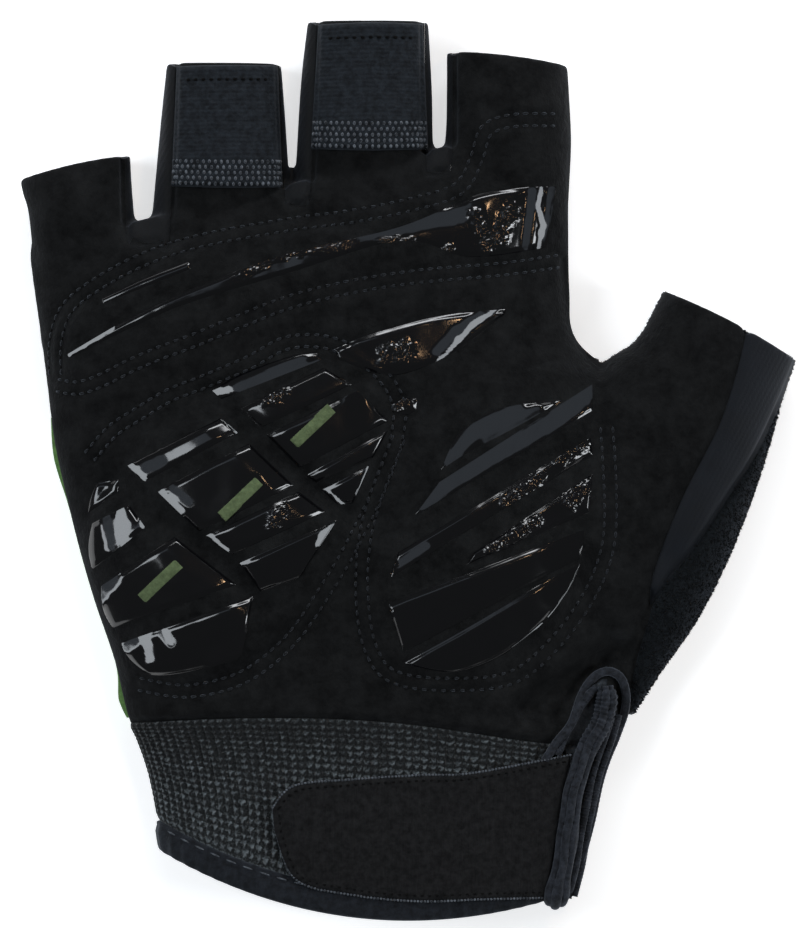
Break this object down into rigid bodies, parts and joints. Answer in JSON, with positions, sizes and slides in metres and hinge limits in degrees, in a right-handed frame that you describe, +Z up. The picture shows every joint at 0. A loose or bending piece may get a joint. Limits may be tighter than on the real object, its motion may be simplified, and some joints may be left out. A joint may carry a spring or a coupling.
{
  "type": "short-finger cycling glove",
  "caption": "Right-hand short-finger cycling glove lying palm up, with gel pads, glossy grip prints, finger pull tabs and a hook-and-loop wrist strap.",
  "frame": {"origin": "under the middle of the glove's outline, on the surface that its back lies on", "axes": "+X towards the thumb, +Y along the fingers, +Z up out of the palm"},
  "size_m": [0.14, 0.1614, 0.0231],
  "materials": {
    "suede": "matt synthetic suede",
    "back_stretch": "plain stretch knit",
    "green_mesh": "matt knit",
    "finger_stretch": "smooth stretch knit",
    "thumb_twill": "fine twill",
    "terry": "looped terry",
    "rib_knit": "heather rib knit",
    "binding": "woven binding",
    "strap_cloth": "matt strap cloth",
    "webbing": "coarse knitted webbing",
    "grip_print": "glossy"
  },
  "bodies": {
    "root": {"palm_panel": "suede", "back_panel": "back_stretch", "side_trim": "green_mesh", "fourchette_little_ring": "finger_stretch", "fourchette_ring_middle": "finger_stretch", "fourchette_middle_index": "finger_stretch", "thumb_stretch_panel": "thumb_twill", "thumb_terry_panel": "terry", "cuff_knit": "rib_knit", "cuff_hem": "binding", "wrist_strap": "strap_cloth", "slit_piping": "binding", "slit_roll": "binding", "pull_tab_ring": "webbing", "pull_tab_middle": "webbing", "print_swoosh_thin": "grip_print", "print_swoosh_long": "grip_print", "print_fin": "grip_print", "print_spark": "grip_print", "print_outer_high_1": "grip_print", "print_outer_high_2": "grip_print", "print_outer_high_3": "grip_print", "print_outer_high_4": "grip_print", "print_outer_high_5": "grip_print", "print_outer_mid_1": "grip_print", "print_outer_mid_2": "grip_print", "print_outer_mid_3": "grip_print", "print_outer_mid_4": "grip_print", "print_outer_low_1": "grip_print", "print_outer_low_2": "grip_print", "print_outer_low_3": "grip_print", "print_outer_low_4": "grip_print", "print_thumb_pad_1": "grip_print", "print_thumb_pad_2": "grip_print", "print_thumb_pad_3": "grip_print", "print_thumb_pad_4": "grip_print", "print_thumb_pad_5": "grip_print", "print_thumb_pad_6": "grip_print"}
  },
  "joints": []
}
